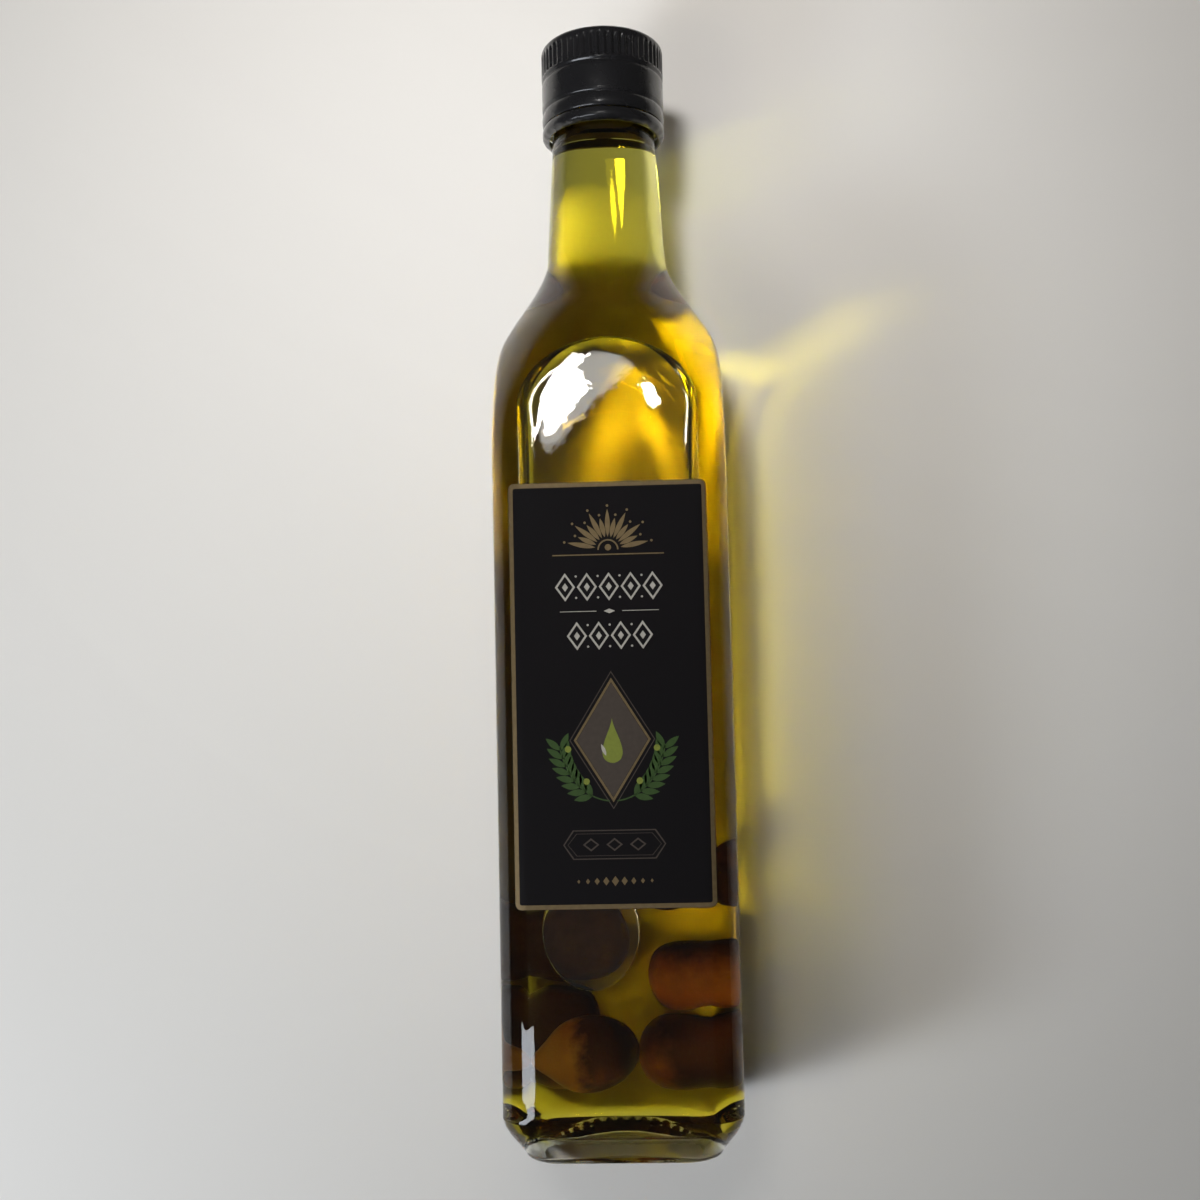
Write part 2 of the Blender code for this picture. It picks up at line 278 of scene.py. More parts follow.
def bearingRings(angles):
    # the rim that the bottle stands on, a low round bead with stippling
    form = bottleForm
    rings, steps = [], 10
    for i in range(steps + 1):
        turn = math.pi * i / steps
        out = form["bearingRadius"] - form["bearingWidth"] * (1 + math.cos(turn)) / 2
        rise = form["bearingRound"] * (1 - math.sin(turn))
        stipple = form["stippleHeight"] * math.sin(turn) ** 2
        wave = (0.5 + 0.5 * np.cos(angles * form["stippleCount"])) * stipple
        rings.append((rise + form["stippleHeight"] - wave, roundRing(angles, out)))
    return rings


def heelRings(angles):
    form = bottleForm
    edge, foot, blend = form["baseEdge"], form["baseEdgeFoot"], form["heelBlend"]
    lowCorner, corner = form["baseCornerRadius"], form["cornerRadius"]
    edgeSteps, slopeSteps, blendSteps = 6, 8, 10
    rings = []
    for i in range(edgeSteps + 1):  # rounded lower edge
        turn = math.pi / 2 * i / edgeSteps
        half = heelHalf(edge) - edge * (1 - math.sin(turn)) * form["baseEdgeDraw"]
        height = foot + (edge - foot) * (1 - math.cos(turn))
        rings.append((height, squareReach(angles, half, lowCorner)))
    for i in range(1, slopeSteps + 1):  # straight slope
        height = edge + (form["heelHeight"] - blend - edge) * i / slopeSteps
        bend = lowCorner + (corner - lowCorner) * i / (slopeSteps + 1)
        rings.append((height, squareReach(angles, heelHalf(height), bend)))
    for i in range(1, blendSteps + 1):  # soft turn into the body
        height = form["heelHeight"] + blend * (2 * i / blendSteps - 1)
        rings.append((height, squareReach(angles, heelHalf(height), corner)))
    return rings


def outsideRings(angles):
    rings = puntRings(angles) + bearingRings(angles) + heelRings(angles)
    for height in bodyHeights(bottleForm["heelHeight"] + 2 * bottleForm["heelBlend"], neckTop()):
        rings.append((height, bottleReach(angles, height, 0.0)))
    return rings


def mouthRings(angles):
    form = bottleForm
    lip, bead, radius = lipHeight(), form["beadHeight"], form["mouthRadius"]
    rounding, steps = form["mouthRounding"], 4
    profile = [(bead - form["beadRise"], float(neckRadius(bead))), (bead, radius), (lip - rounding, radius)]
    turns = [math.pi / 2 * i / steps for i in range(steps + 1)]
    for turn in turns[1:]:
        height = lip - rounding * (1 - math.sin(turn))
        profile.append((height, radius - rounding * (1 - math.cos(turn))))
    for turn in turns:
        height = lip - rounding * (1 - math.cos(turn))
        profile.append((height, boreRadius() + rounding * (1 - math.sin(turn))))
    return [(height, roundRing(angles, reach)) for height, reach in profile]


def unevenWall(angles, height):
    # slow thick and thin places of the glass wall, as blown glass has
    form = bottleForm
    fade = min(max((neckTop() - height) / (20 * mm), 0.0), 1.0)
    spread, level = form["waveSpread"], height / form["waveLength"]
    values = [noise.noise(Vector((math.cos(a) * spread, math.sin(a) * spread, level))) for a in angles]
    return np.array(values) * form["wallUnevenness"] * fade


def cavityRings(angles, spread):
    # the inside of the glass from the neck down to the floor, pushed out into the wall by spread
    form = bottleForm
    inset = form["wall"] - spread
    floor = form["floorThickness"] - spread
    rings = []
    for height in bodyHeights(floor + form["floorRounding"] + 1 * mm, neckTop())[::-1]:
        rings.append((height, bottleReach(angles, height, inset) - unevenWall(angles, height)))
    half = bodyHalf - inset
    steps = 14
    wave = unevenWall(angles, floor + form["floorRounding"])
    for i in range(steps + 1):
        turn = math.pi / 2 * i / steps
        drawn = form["floorRounding"] * (1 - math.cos(turn))
        height = floor + form["floorRounding"] * (1 - math.sin(turn))
        corner = form["cornerRadius"] - inset / 2 + drawn / 2
        rings.append((height, squareReach(angles, half - drawn, corner) - wave * (1 - i / steps)))
    last = rings[-1][1]
    for i in range(1, 9):
        share = i / 9
        rings.append((floor + form["floorCrown"] * math.sin(share * math.pi / 2), last * (1 - share)))
    return rings


def layDown(points):
    # standing coordinates to the row's: cap to +Y, front up
    laid = np.empty_like(points)
    laid[:, 0] = points[:, 0]
    laid[:, 1] = points[:, 2] - bottleLength / 2
    laid[:, 2] = bodyHalf - points[:, 1]
    return laid


def ringPoints(angles, rings):
    points = []
    for height, reach in rings:
        heights = np.broadcast_to(np.asarray(height, dtype=float), angles.shape)
        points.append(np.stack([reach * np.cos(angles), reach * np.sin(angles), heights], axis=1))
    return points


def ringFaces(count, low, high):
    # quads between two rings, from the number of each ring's first point
    return [(low + j, low + (j + 1) % count, high + (j + 1) % count, high + j) for j in range(count)]


def placeMesh(name, mesh):
    mesh.shade_smooth()
    piece = bpy.data.objects.new(name, mesh)
    bpy.context.scene.collection.objects.link(piece)
    return piece


def addMesh(name, points, faces):
    # standing points to one closed, outward piece of the lying bottle
    mesh = bpy.data.meshes.new(name)
    mesh.from_pydata(layDown(points), [], faces)
    cleaner = bmesh.new()
    cleaner.from_mesh(mesh)
    bmesh.ops.remove_doubles(cleaner, verts=cleaner.verts[:], dist=mergeDistance)
    bmesh.ops.dissolve_degenerate(cleaner, edges=cleaner.edges[:], dist=mergeDistance)
    bmesh.ops.recalc_face_normals(cleaner, faces=cleaner.faces[:])
    cleaner.to_mesh(mesh)
    cleaner.free()
    return placeMesh(name, mesh)


def loft(name, angles, rings, firstCentre, lastCentre):
    # closed skin over rings of points, from one centre point to the other
    count = len(angles)
    ends = [np.array([[0, 0, height]]) for height in (firstCentre, lastCentre)]
    points = np.concatenate(ends[:1] + ringPoints(angles, rings) + ends[1:])
    faces = []
    lastPoint = len(points) - 1
    for j in range(count):
        k = (j + 1) % count
        faces.append((0, 1 + k, 1 + j))
        faces.append((lastPoint, lastPoint - count + j, lastPoint - count + k))
    for r in range(len(rings) - 1):
        faces += ringFaces(count, 1 + r * count, 1 + (r + 1) * count)
    mesh = bpy.data.meshes.new(name)
    mesh.from_pydata(layDown(points), [], faces)
    mesh.update()
    return placeMesh(name, mesh)


# glass
glassLook = {
    "ior": 1.52,
    "tint": (0.975, 0.982, 0.968, 1.0),
    "wetIor": 1.52 / 1.47,  # glass against oil
    "airIor": 1 / 1.47,  # air against oil
    "waveSize": 4.0 * mm,
    "waveHeight": 0.01 * mm,
}


def glassMaterial(name, ior):
    material, nodes, links, shader = newMaterial(
        name,
        **{"Base Color": glassLook["tint"], "Roughness": 0.0, "IOR": ior, "Transmission Weight": 1.0},
    )
    waves = addNoise(nodes, links, Scale=1 / glassLook["waveSize"], Detail=2.0)
    addBump(nodes, links, shader, waves.outputs["Fac"], 1.0, glassLook["waveHeight"])
    return material


def makeGlass():
    angles = sectionAngles()
    outside = outsideRings(angles)
    mouth = mouthRings(angles)
    cavity = cavityRings(angles, 0.0)
    floorTop = bottleForm["floorThickness"] + bottleForm["floorCrown"]
    piece = loft("bottle_glass", angles, outside + mouth + cavity, bottleForm["puntDepth"], floorTop)
    piece.data.materials.append(glassMaterial("clearGlass", glassLook["ior"]))
    piece.data.materials.append(glassMaterial("wetGlass", glassLook["wetIor"]))
    count = len(angles)
    # the loft writes the two fans first, then the quads ring by ring, and oil wets those inside the lip
    fanFaces, lipRings = 2 * count, 6
    first = len(outside) + len(mouth) - lipRings
    for index, face in enumerate(piece.data.polygons):
        if index < fanFaces:
            face.material_index = index % 2
        else:
            face.material_index = 1 if (index - fanFaces) // count >= first else 0
    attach(piece, body)
    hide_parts("glass_bottle")
    print("glass bottle made,", len(piece.data.polygons), "faces")


# oil
oilLook = {
    "reach": 0.1 * mm,  # how far it reaches into the glass
    "density": 100.0,
    "colour": (0.952, 0.899, 0.03, 1.0),
    "topGap": 0.5 * mm,
    "bubbleLap": 0.1 * mm,  # how far the air reaches down into the oil
}
bubbleForm = {
    "halfWidth": 21.0 * mm,
    "archFoot": 176.0 * mm,
    "archRise": 16.7 * mm,
    "foot": 66.0 * mm,
    "footCorner": 14.0 * mm,
    "lobeMiddle": (-6.3 * mm, 54.0 * mm),  # the last of the air, low on the left
    "lobeHalf": (11.2 * mm, 13.5 * mm),
    "lobeDepth": 0.18 * mm,
    "fullDepthAt": 120.0 * mm,
    "joinSoftness": 6.0 * mm,
    "depth": 3.4 * mm,
    "edge": 3.0 * mm,
    "reach": 0.1 * mm,
    "spine": ((-5.0 * mm, 55.0 * mm), (0.0, 170.0 * mm)),  # the line that its rim is drawn round
    "steps": (56, 48, 36),  # up a side, round the arch and round the foot
    "rings": 20,
}


def ellipseInside(x, h, middle, half):
    # rough distance inside an ellipse, negative outside it
    across, up = (x - middle[0]) / half[0], (h - middle[1]) / half[1]
    length = np.sqrt(across * across + up * up) + 1e-9
    steep = np.sqrt((across / half[0]) ** 2 + (up / half[1]) ** 2) / length + 1e-9
    return (1 - length) / steep


def bubbleInside(x, h):
    # distance from a place on the front to the bubble's outline, positive inside
    form = bubbleForm
    x, h = np.asarray(x, dtype=float), np.asarray(h, dtype=float)
    arch = ellipseInside(x, h, (0.0, form["archFoot"]), (form["halfWidth"], form["archRise"]))
    corner = form["footCorner"]
    beyondX = np.abs(x) - form["halfWidth"] + corner
    beyondH = form["foot"] + corner - h
    outside = np.hypot(np.maximum(beyondX, 0), np.maximum(beyondH, 0))
    straight = corner - outside - np.minimum(np.maximum(beyondX, beyondH), 0)
    main = np.where(h > form["archFoot"], arch, straight)
    lobe = ellipseInside(x, h, form["lobeMiddle"], form["lobeHalf"])
    lobe = softLeast(lobe, form["halfWidth"] - np.abs(x), corner / 4)
    return softMost(main, lobe, form["joinSoftness"])


def bubbleDepth(x, h):
    # the air is a flat cushion with a rounded rim
    form = bubbleForm
    low = form["lobeMiddle"][1] - form["lobeHalf"][1]
    rise = np.clip((np.asarray(h) - low) / (form["fullDepthAt"] - low), 0.0, 1.0)
    rise = rise * rise * (3 - 2 * rise)
    share = np.clip(bubbleInside(x, h) / (form["edge"] * (2 - rise)), 0.0, 1.0)
    depth = form["lobeDepth"] + (form["depth"] - form["lobeDepth"]) * rise
    return depth * np.sqrt(1 - (1 - share) ** 2)


def frontCeiling(x, h, inset):
    # how far the glass's inner front lies from the axis, at a place seen from the front
    y = np.full(len(x), bodyHalf - inset)
    for i in range(8):  # each round comes closer
        angles = np.arctan2(-y, x)
        reach = np.array([bottleReach(a, one, inset) - unevenWall([a], one)[0] for a, one in zip(angles, h)])
        y = np.sqrt(np.maximum(reach**2 - x**2, 0.0))
    return y


def bubbleRays():
    # from the spine to the rim: up the right side, round the arch, down the left side, round the foot
    foot, top = (np.array(end) for end in bubbleForm["spine"])
    sideSteps, archSteps, footSteps = bubbleForm["steps"]
    climb = np.arange(sideSteps)[:, None] / sideSteps
    arch, heel = np.arange(archSteps) / archSteps, np.arange(footSteps) / footSteps
    up, down = foot + (top - foot) * climb, foot + (top - foot) * (1 - climb)
    starts = np.concatenate([up, np.tile(top, (archSteps, 1)), down, np.tile(foot, (footSteps, 1))])
    shares = np.concatenate([np.zeros(sideSteps), arch, np.ones(sideSteps), 1 + heel])
    return starts, np.stack([np.cos(shares * math.pi), np.sin(shares * math.pi)], axis=1)


def rimDistances(starts, steer):
    near, far = np.zeros(len(starts)), np.full(len(starts), 30 * mm)
    for i in range(30):  # halves the doubt each time
        middle = (near + far) / 2
        spots = starts + steer * middle[:, None]
        isIn = bubbleInside(spots[:, 0], spots[:, 1]) > 0
        near, far = np.where(isIn, middle, near), np.where(isIn, far, middle)
    return near


def makeBubble():
    form = bubbleForm
    starts, steer = bubbleRays()
    reach = rimDistances(starts, steer)
    rings, rows = form["rings"], []
    for ring in range(rings + 1):
        out = math.sin(math.pi / 2 * ring / rings)
        rows.append(starts + steer * (reach * out)[:, None])
    points, count = [], len(starts)
    for side in (0, 1):
        for ring, spots in enumerate(rows):
            if side and ring == rings:
                continue
            ceiling = frontCeiling(spots[:, 0], spots[:, 1], bottleForm["wall"])
            depth = bubbleDepth(spots[:, 0], spots[:, 1]) * side
            level = np.minimum(ceiling, bodyHalf - bottleForm["wall"]) - depth
            y = ceiling + form["reach"] if side == 0 else level
            points.append(np.stack([spots[:, 0], -y, spots[:, 1]], axis=1))
    faces = []
    for ring in range(rings):
        for j in range(count):
            k = (j + 1) % count
            a, b = ring * count, (ring + 1) * count
            faces.append((a + j, b + j, b + k, a + k))
            a = (rings + 1 + ring) * count
            b = (rings + 1 + ring + 1) * count if ring < rings - 1 else rings * count
            faces.append((a + k, b + k, b + j, a + j))
    piece = addMesh("air_bubble", np.concatenate(points), faces)
    piece.data.materials.append(glassMaterial("bubbleSkin", glassLook["airIor"]))
    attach(piece, body)
    print("air bubble made,", len(piece.data.polygons), "faces")


def oilMaterial():
    material, nodes, links, shader = newMaterial(
        "goldenOil",
        **{"Base Color": (1, 1, 1, 1), "Roughness": 0.0, "IOR": 1.0, "Transmission Weight": 1.0},
    )
    soak = addNode(nodes, "ShaderNodeVolumeAbsorption", Color=oilLook["colour"], Density=oilLook["density"])
    links.new(soak.outputs["Volume"], nodes["Material Output"].inputs["Volume"])
    return material


def makeOil():
    angles = sectionAngles()
    spread = oilLook["reach"]
    rings = cavityRings(angles, spread)[::-1]
    top = lipHeight() - oilLook["topGap"]
    rings.append((top, roundRing(angles, boreRadius() + spread)))
    low = bottleForm["floorThickness"] - spread + bottleForm["floorCrown"]
    piece = loft("golden_oil_fill", angles, rings, low, top)
    flat = bodyHalf - bottleForm["wall"]
    for vertex in piece.data.vertices:  # hollow for the air under the front
        x, along, up = vertex.co
        depth = float(bubbleDepth(x, along + bottleLength / 2)) - oilLook["bubbleLap"]
        if up > bodyHalf and depth > 0:
            vertex.co.z = min(up, bodyHalf + flat - depth)
    piece.data.materials.append(oilMaterial())
    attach(piece, body)
    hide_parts("olive_oil")
    print("oil made,", len(piece.data.polygons), "faces")


# olives sunk at the base end: middle across and along the bottle and half sizes in mm, turn in degrees
oliveForm = {
    "steps": (56, 36),
    "lumps": 0.25 * mm,
    "lumpSize": 9.0 * mm,
    "gap": 0.15 * mm,
    "taper": 0.05,
    "tipBluntness": 0.95,
    "tipSharpness": 14,
    "ripe": (0.036, 0.01, 0.012, 1.0),
    "ripeAt": 1.25,
    "sideShare": 0.55,
    "blotchScale": 260.0,
    "blotchShare": 0.5,
    "blotchShift": 0.25,
    "speckScale": 1500.0,
    "speckHeight": 0.2 * mm,
    "roughness": 0.42,
    "specular": 0.12,
}
plainOlive = {"lift": 0.0, "pointing": 0.0, "unripe": (0.16, 0.05, 0.025, 1.0)}
olives = [
    {
        "middle": (-7.4, 22.3), "half": (11.4, 9.0), "turn": 8.0, "lift": 17.0, "bluntness": 0.96,
        "pointing": 0.24, "ripeSide": (1.0, 0.15), "ripeness": 0.9, "blend": 0.1,
        "unripe": (0.22, 0.088, 0.035, 1.0),
    },
    {
        **plainOlive, "middle": (14.4, 19.6), "half": (10.9, 9.2), "turn": -4.0, "bluntness": 0.4,
        "ripeSide": (0.8, 0.3), "ripeness": 1.1, "blend": 0.3,
    },
    {
        **plainOlive, "middle": (15.9, 38.2), "half": (9.5, 8.4), "turn": 6.0, "bluntness": 0.4,
        "ripeSide": (0.1, 1.0), "ripeness": 0.66, "blend": 0.3, "unripe": (0.27, 0.085, 0.03, 1.0),
    },
    {
        **plainOlive, "middle": (-15.4, 23.4), "half": (12.2, 9.6), "turn": 82.0, "bluntness": 0.42,
        "ripeSide": (-0.4, 0.7), "ripeness": 1.2, "blend": 0.25,
    },
    {
        **plainOlive, "middle": (11.6, 62.6), "half": (9.4, 8.4), "turn": -8.0, "bluntness": 0.9,
        "ripeSide": (0.2, -0.6), "ripeness": 1.0, "blend": 0.25,
    },
    # the sixth and darkest olive lies under the label's left end and darkens the oil there: partly an olive,
    # partly painted shade
    {
        **plainOlive, "middle": (-11.2, 47.2), "half": (13.8, 10.2), "turn": 183.0, "bluntness": 0.45,
        "ripeSide": (-0.6, -0.4), "ripeness": 0.85, "blend": 0.4, "unripe": (0.12, 0.06, 0.02, 1.0),
    },
]


def oliveMaterial(name, values):
    # ripe towards one side and in blotches, with fine specks
    form = oliveForm
    finish = {"Roughness": form["roughness"], "Specular IOR Level": form["specular"]}
    material, nodes, links, shader = newMaterial(name, **finish)
    place = addNode(nodes, "ShaderNodeTexCoord")
    across, along = (v * mm for v in values["middle"])
    side = Vector((*values["ripeSide"], 0.0)).normalized()
    shift = addNode(nodes, "ShaderNodeVectorMath", operation="SUBTRACT")
    shift.inputs[1].default_value = (across, along - bottleLength / 2, 0.0)
    lean = addNode(nodes, "ShaderNodeVectorMath", operation="DOT_PRODUCT")
    lean.inputs[1].default_value = side / (values["half"][0] * mm)
    blotch = addNoise(nodes, links, Scale=form["blotchScale"], Detail=6.0, Roughness=0.62)
    speck = addNoise(nodes, links, Scale=form["speckScale"], Detail=2.0)
    mix = addNode(nodes, "ShaderNodeMath", operation="MULTIPLY_ADD")
    mix.inputs[1].default_value = form["blotchShare"]
    mix.inputs[2].default_value = form["blotchShift"]
    total = addNode(nodes, "ShaderNodeMath", operation="MULTIPLY_ADD")
    total.inputs[1].default_value = form["sideShare"]
    ramp = addNode(nodes, "ShaderNodeValToRGB")
    start, blend = form["ripeAt"] - values["ripeness"], values["blend"]
    ramp.color_ramp.elements[0].position = min(max(start - blend, 0.0), 0.98)
    ramp.color_ramp.elements[0].color = values["unripe"]
    ramp.color_ramp.elements[1].position = min(max(start + blend, 0.02), 1.0)
    ramp.color_ramp.elements[1].color = form["ripe"]
    links.new(place.outputs["Object"], shift.inputs[0])
    links.new(shift.outputs["Vector"], lean.inputs[0])
    links.new(lean.outputs["Value"], total.inputs[0])
    links.new(blotch.outputs["Fac"], mix.inputs[0])
    links.new(mix.outputs["Value"], total.inputs[2])
    links.new(total.outputs["Value"], ramp.inputs["Fac"])
    links.new(ramp.outputs["Color"], shader.inputs["Base Color"])
    addBump(nodes, links, shader, speck.outputs["Fac"], 0.4, form["speckHeight"])
    return material


def olivePoints(values, middle):
    form = oliveForm
    longHalf, wideHalf = (v * mm for v in values["half"])
    turned = Matrix.Rotation(-math.radians(values["turn"]), 3, "Y")
    columns, rows = form["steps"]
    points = []
    for row in range(rows + 1):
        slope = math.pi * row / rows
        point = math.cos(slope)
        blunt = values["bluntness"] + (form["tipBluntness"] - values["bluntness"]) * max(point, 0.0)
        reach = wideHalf * math.sin(slope) ** blunt * (1 + form["taper"] * point)
        nipple = values["pointing"] * max(point, 0.0) ** form["tipSharpness"]
        lengthwise = -longHalf * point * (1 + nipple)
        for column in range(columns):
            swing = 2 * math.pi * column / columns
            spot = Vector((lengthwise, reach * math.cos(swing), reach * math.sin(swing)))
            lump = noise.noise((spot + middle * 3) / form["lumpSize"]) * form["lumps"]
            spot *= 1 + lump / wideHalf
            points.append(middle + turned @ spot)
    return np.array(points)


def makeOlive(number, values):
    across, along = (v * mm for v in values["middle"])
    rise = values["half"][1] * mm + oliveForm["gap"] + values["lift"] * mm
    middle = Vector((across, bodyHalf - bottleForm["wall"] - rise, along))
    columns, rows = oliveForm["steps"]
    faces = []
    for row in range(rows):
        faces += ringFaces(columns, row * columns, (row + 1) * columns)
    piece = addMesh(f"olive_{number}", olivePoints(values, middle), faces)
    piece.data.materials.append(oliveMaterial(f"oliveSkin{number}", values))
    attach(piece, body)


def makeOlives():
    for number, values in enumerate(olives, 1):
        makeOlive(number, values)
    print("olives made,", len(olives))


# cap and tamper band: heights below are measured down from the cap's top
capForm = {
    "radius": 15.75 * mm,
    "height": 24.0 * mm,
    "wall": 0.6 * mm,
    "topDish": 0.15 * mm,
    "edge": 1.3 * mm,
    "dishShares": (0.3, 0.55, 0.74, 0.8),  # of the radius, from the middle of the top out
    "stepShares": (0.82, 0.84),
    "crownShare": 0.86,
    "ribs": 54,
    "ribDepth": 0.42 * mm,
    "ribStart": 1.7 * mm,
    "ribEnd": 7.4 * mm,
    "ribFade": 1.2 * mm,
    "stepsPerRib": 10,
    "splitGap": 0.3 * mm,
    "bridges": 12,
    "bridgeWidth": 0.1,  # of the way between two bridges
    "crimps": 30,
    "crimpDepth": 0.12 * mm,
    "crimpStart": 22.8 * mm,
    "crimpFade": 0.6 * mm,
    "lipRises": (0.2 * mm, 0.7 * mm, 1.3 * mm),  # up from the band's foot
    "lipEase": 0.3 * mm,
    "lipRadius": 14.0 * mm,
    "ceiling": 0.8 * mm,
}
# depth below the cap's top and how far the surface lies inside its largest radius, in mm
skirtProfile = [
    (7.75, 0.0), (8.1, 0.02), (8.3, 0.1), (8.5, 0.3), (8.75, 0.4), (9.0, 0.36), (9.3, 0.16), (9.6, 0.06),
    (10.2, 0.05), (12.5, 0.05), (15.8, 0.05), (16.0, 0.07), (16.15, 0.14), (16.35, 0.14), (16.5, 0.22),
    (16.75, 0.42), (17.0, 0.4), (17.25, 0.22), (17.6, 0.1), (18.2, 0.02), (18.8, 0.0), (19.4, 0.03),
    (19.9, 0.12), (20.2, 0.24), (20.4, 0.34), (20.58, 0.5),
]
bandProfile = [
    (20.92, 0.5), (21.0, 0.28), (21.2, 0.14), (21.6, 0.04), (22.0, 0.0), (22.5, 0.0), (22.9, 0.04),
    (23.2, 0.16), (23.5, 0.42), (23.75, 0.8), (23.92, 1.25), (24.0, 1.6),
]
capLook = {
    "lacquer": (0.007, 0.007, 0.008, 1.0),
    "roughness": 0.26,
    "coat": 0.6,
    "coatRoughness": 0.09,
    "smear": (-0.08, 0.12),  # roughness less and more than the lacquer's own
    "grainHeight": 0.04 * mm,
    "inside": (0.36, 0.3, 0.2, 1.0),
}


def lacquerMaterial(name):
    finish = {"Base Color": capLook["lacquer"], "Coat Weight": capLook["coat"]}
    finish["Coat Roughness"] = capLook["coatRoughness"]
    material, nodes, links, shader = newMaterial(name, **finish)
    smear = addNoise(nodes, links, Scale=160.0, Detail=5.0)
    low, high = (capLook["roughness"] + change for change in capLook["smear"])
    addRange(nodes, links, smear.outputs["Fac"], low, high, shader.inputs["Roughness"])
    grain = addNoise(nodes, links, Scale=2600.0, Detail=2.0)
    addBump(nodes, links, shader, grain.outputs["Fac"], 0.25, capLook["grainHeight"])
    return material


def insideMaterial(name):
    material, nodes, links, shader = newMaterial(name, **{"Metallic": 0.6, "Roughness": 0.45})
    dirt = addNoise(nodes, links, Scale=300.0, Detail=3.0)
    links.new(dirt.outputs["Color"], addTint(nodes, links, shader, capLook["inside"], 0.5))
    return material


def ribShape(angles):
    # 0 on the crest of a rib, 1 in the valley between two
    wave = 0.5 - 0.5 * np.cos(angles * capForm["ribs"])
    return wave**1.6


def turnedPiece(name, angles, rings, closed):
    # rings of (height, radius); a closed piece joins its last ring to its first
    count = len(angles)
    faces = []
    for r in range(len(rings) - 1):
        faces += ringFaces(count, r * count, (r + 1) * count)
    if closed:
        faces += ringFaces(count, (len(rings) - 1) * count, 0)
    return addMesh(name, np.concatenate(ringPoints(angles, rings)), faces)


def paintInside(piece, outsideOf):
    # faces that look at the axis or up under the top get the second material
    for face in piece.data.polygons:
        x, along, up = face.center
        up -= bodyHalf
        radius = math.hypot(x, up)
        height = along + bottleLength / 2
        outward = (face.normal.x * x + face.normal.z * up) / max(radius, mergeDistance)
        underTop = face.normal.y < -0.5 and height > bottleLength - 3 * mm
        face.material_index = 1 if radius < outsideOf and (outward < -0.3 or underTop) else 0


def topRings(top, radius):
    # from the middle of the cap's top over its rounded edge
    form, edgeSteps = capForm, 8
    rings = [(top - form["topDish"], 0)]
    rings += [(top - form["topDish"], radius * share) for share in form["dishShares"]]
    rings += [(top - form["topDish"] / 2, radius * share) for share in form["stepShares"]]
    rings.append((top, radius * form["crownShare"]))
    for i in range(edgeSteps + 1):
        turn = math.pi / 2 * i / edgeSteps
        sink = form["edge"] * (1 - math.sin(turn))
        rings.append((top - form["edge"] * (1 - math.cos(turn)), radius - sink))
    return rings


def gripRings(top, radius, ribs):
    form, steps = capForm, 14
    long, rings = form["ribEnd"] - form["ribStart"], []
    for i in range(steps + 1):
        drop = long * i / steps
        grow = min(drop / form["ribFade"], 1.0)
        rings.append((top - form["ribStart"] - drop, radius - ribs * math.sin(grow * math.pi / 2)))
    rings.append((top - form["ribEnd"] - 0.12 * mm, radius - ribs / 2))
    return rings


def makeCap():
    form = capForm
    radius, top = form["radius"], bottleLength
    count = form["ribs"] * form["stepsPerRib"]
    angles = np.arange(count) * 2 * math.pi / count
    rings = topRings(top, radius) + gripRings(top, radius, ribShape(angles) * form["ribDepth"])
    rings += [(top - drop * mm, radius - sink * mm) for drop, sink in skirtProfile]
    inner = radius - form["wall"]
    rings += [(rings[-1][0], inner), (top - form["ceiling"], inner), (top - form["ceiling"], 0)]
    piece = turnedPiece("cap_shell", angles, rings, closed=False)
    piece.data.materials.append(lacquerMaterial("blackLacquer"))
    piece.data.materials.append(insideMaterial("capInside"))
    paintInside(piece, inner + 0.05 * mm)
    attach(piece, body)
    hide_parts("screw_cap")
    print("cap made,", len(piece.data.polygons), "faces")


def makeBand():
    form = capForm
    radius, top, count = form["radius"], bottleLength, 360
    angles = np.arange(count) * 2 * math.pi / count
    bridge = (angles * form["bridges"] / (2 * math.pi)) % 1.0 < form["bridgeWidth"]
    lift = np.where(bridge, form["splitGap"], 0.0)  # the bridges that hold the band to the cap
    crimp = (0.5 - 0.5 * np.cos(angles * form["crimps"])) * form["crimpDepth"]
    rings = []
    for drop, sink in bandProfile:
        press = min(max((drop * mm - form["crimpStart"]) / form["crimpFade"], 0.0), 1.0)
        rings.append((top - drop * mm, radius - sink * mm - crimp * press))
    first, inner = rings[0][0] + lift, radius - form["wall"]
    rings[0] = (first, rings[0][1])
    low, lip = top - form["height"], form["lipRadius"]
    reaches = (lip - crimp, lip + form["lipEase"], inner)
    rings += [(low + rise, reach) for rise, reach in zip(form["lipRises"], reaches)]
    rings.append((first, inner))
    piece = turnedPiece("cap_ring", angles, rings, closed=True)
    piece.data.materials.append(lacquerMaterial("bandLacquer"))
    piece.data.materials.append(insideMaterial("bandInside"))
    paintInside(piece, inner + 0.05 * mm)
    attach(piece, body)
    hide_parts("tamper_band")
    print("tamper band made,", len(piece.data.polygons), "faces")


# label
labelForm = {
    "width": 46.4 * mm,
    "height": 98.6 * mm,
    "foot": 59.2 * mm,
    "shift": -0.4 * mm,
    "corner": 1.4 * mm,
    "thickness": 0.2 * mm,
    "sink": 0.03 * mm,  # how far the paper's back reaches into the glass
    "columns": 61,
    "cornerRows": 9,
    "inkRise": 0.02 * mm,
    "inkSink": 0.05 * mm,
}
labelLook = {
    "paper": (0.0068, 0.006, 0.0068, 1.0),
    "gold": (0.2, 0.145, 0.072, 1.0),
    "cream": (0.36, 0.345, 0.31, 1.0),
    "leaf": (0.03, 0.062, 0.014, 1.0),
    "fruit": (0.16, 0.19, 0.03, 1.0),
    "taupe": (0.05, 0.039, 0.031, 1.0),
    "foil": (0.55, 0.42),  # metallic and roughness
    "matt": (0.0, 0.55),
}


